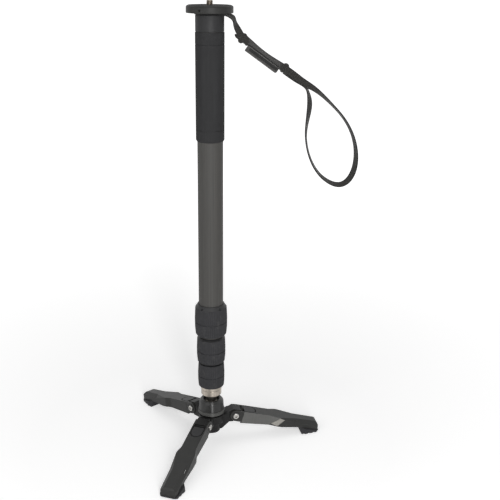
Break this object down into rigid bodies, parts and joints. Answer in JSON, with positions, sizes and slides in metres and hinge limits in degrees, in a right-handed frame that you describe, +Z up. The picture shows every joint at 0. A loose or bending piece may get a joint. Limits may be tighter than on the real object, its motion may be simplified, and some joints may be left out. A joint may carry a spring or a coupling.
{
  "type": "camera monopod",
  "caption": "Telescoping camera support pole with twist locks, a ball joint with three folding feet, a camera plate and a wrist strap.",
  "frame": {"origin": "centre of the camera plate's pad, at the foot of the 3/8 inch camera stud", "axes": "+Z up along the pole and the camera stud, +Y away from the side that shows the grip's panel, +X to the right of it"},
  "size_m": [0.3533, 0.3286, 0.7183],
  "materials": {
    "plate_black": "fine matt black anodised, turned",
    "collar_black": "satin black anodised",
    "tube_grey": "warm dark grey anodised, faintly streaked along its length",
    "cast_black": "black powder coat, fine grain",
    "satin_nickel": "satin metal, turned, warm silver",
    "steel_dark": "blackened steel",
    "steel_bright": "bright steel screw",
    "rubber_black": "matt black rubber",
    "grip_foam": "matt black moulded rubber with a fine grain",
    "plastic_black": "matt black moulded plastic",
    "cup_white": "slippery white plastic",
    "webbing_black": "woven black webbing"
  },
  "bodies": {
    "base": {"hub": "cast_black", "ball_collar": "collar_black", "hinge_bolts": "steel_bright", "hinge_nuts": "steel_bright", "hinge_washers": "steel_dark"},
    "cup": {"ball_seat": "cup_white"},
    "ball": {"ball_stem": "steel_dark", "coupling_ring": "satin_nickel"},
    "foot_section": {"foot_adapter": "satin_nickel", "tube_4": "tube_grey", "bushing_4": "plastic_black"},
    "third_section": {"tube_3": "tube_grey", "bushing_3": "plastic_black", "lock_3_ferrule": "collar_black", "lock_3_collet": "plastic_black"},
    "second_section": {"tube_2": "tube_grey", "bushing_2": "plastic_black", "lock_2_ferrule": "collar_black", "lock_2_collet": "plastic_black"},
    "upper_section": {"tube_1": "tube_grey", "lock_1_ferrule": "collar_black", "lock_1_collet": "plastic_black", "grip_sleeve": "grip_foam", "head_collar": "collar_black", "mounting_plate": "plate_black", "plate_pad": "rubber_black", "plate_set_screw": "steel_dark", "camera_stud": "steel_bright"},
    "twist_1": {"lock_1_collar": "collar_black", "lock_1_grip": "rubber_black"},
    "twist_2": {"lock_2_collar": "collar_black", "lock_2_grip": "rubber_black"},
    "twist_3": {"lock_3_collar": "collar_black", "lock_3_grip": "rubber_black"},
    "strap": {"strap_neck_loop": "webbing_black", "strap_keeper": "rubber_black", "strap_band": "webbing_black", "strap_label": "rubber_black", "strap_slide": "rubber_black", "strap_wrist_loop": "webbing_black"},
    "right_leg": {"leg_right": "cast_black", "toe_pad_right": "rubber_black", "leg_inlay_right": "satin_nickel", "latch_spring_right": "steel_dark"},
    "right_latch": {"leg_latch_right": "plastic_black"},
    "left_leg": {"leg_left": "cast_black", "toe_pad_left": "rubber_black", "leg_inlay_left": "satin_nickel", "latch_spring_left": "steel_dark"},
    "left_latch": {"leg_latch_left": "plastic_black"},
    "front_leg": {"leg_front": "cast_black", "toe_pad_front": "rubber_black", "leg_inlay_front": "satin_nickel", "latch_spring_front": "steel_dark"},
    "front_latch": {"leg_latch_front": "plastic_black"}
  },
  "joints": [
    {"name": "ball_pan", "type": "hinge", "parent": "base", "child": "cup", "pos_m": [0, 0, -0.649], "axis": [0, 0, 1], "continuous": true},
    {"name": "ball_tilt", "type": "hinge", "parent": "cup", "child": "ball", "pos_m": [0, 0, -0.649], "axis": [0, 1, 0], "range_deg": [-15, 0]},
    {"name": "pole_turn", "type": "hinge", "parent": "ball", "child": "foot_section", "pos_m": [0, 0, -0.62], "axis": [0, 0, 1], "continuous": true},
    {"name": "lower_slide", "type": "slide", "parent": "foot_section", "child": "third_section", "axis": [0, 0, 1], "range_m": [0, 0.36]},
    {"name": "middle_slide", "type": "slide", "parent": "third_section", "child": "second_section", "axis": [0, 0, 1], "range_m": [0, 0.36]},
    {"name": "upper_slide", "type": "slide", "parent": "second_section", "child": "upper_section", "axis": [0, 0, 1], "range_m": [0, 0.36]},
    {"name": "lock_1_turn", "type": "hinge", "parent": "upper_section", "child": "twist_1", "pos_m": [0, 0, -0.49], "axis": [0, 0, 1], "range_deg": [0, 120]},
    {"name": "lock_2_turn", "type": "hinge", "parent": "second_section", "child": "twist_2", "pos_m": [0, 0, -0.543], "axis": [0, 0, 1], "range_deg": [0, 120]},
    {"name": "lock_3_turn", "type": "hinge", "parent": "third_section", "child": "twist_3", "pos_m": [0, 0, -0.588], "axis": [0, 0, 1], "range_deg": [0, 120]},
    {"name": "strap_swivel", "type": "hinge", "parent": "upper_section", "child": "strap", "pos_m": [0, 0, -0.0125], "axis": [0, 0, 1], "continuous": true},
    {"name": "right_leg_fold", "type": "hinge", "parent": "base", "child": "right_leg", "pos_m": [0.03952, 0.00618, -0.6666], "axis": [0.1545, -0.988, 0], "range_deg": [0, 104.62]},
    {"name": "right_latch_press", "type": "slide", "parent": "right_leg", "child": "right_latch", "axis": [-0.2494, -0.039, -0.9676], "range_m": [0, 0.002], "stiffness_N_per_m": 800, "deforming": ["latch_spring_right"]},
    {"name": "left_leg_fold", "type": "hinge", "parent": "base", "child": "left_leg", "pos_m": [-0.02511, 0.03113, -0.6666], "axis": [0.7784, 0.6278, 0], "range_deg": [0, 104.62]},
    {"name": "left_latch_press", "type": "slide", "parent": "left_leg", "child": "left_latch", "axis": [0.1585, -0.1965, -0.9676], "range_m": [0, 0.002], "stiffness_N_per_m": 800, "deforming": ["latch_spring_left"]},
    {"name": "front_leg_fold", "type": "hinge", "parent": "base", "child": "front_leg", "pos_m": [-0.01441, -0.03732, -0.6666], "axis": [-0.9329, 0.3602, 0], "range_deg": [0, 104.62]},
    {"name": "front_latch_press", "type": "slide", "parent": "front_leg", "child": "front_latch", "axis": [0.0909, 0.2355, -0.9676], "range_m": [0, 0.002], "stiffness_N_per_m": 800, "deforming": ["latch_spring_front"]}
  ]
}
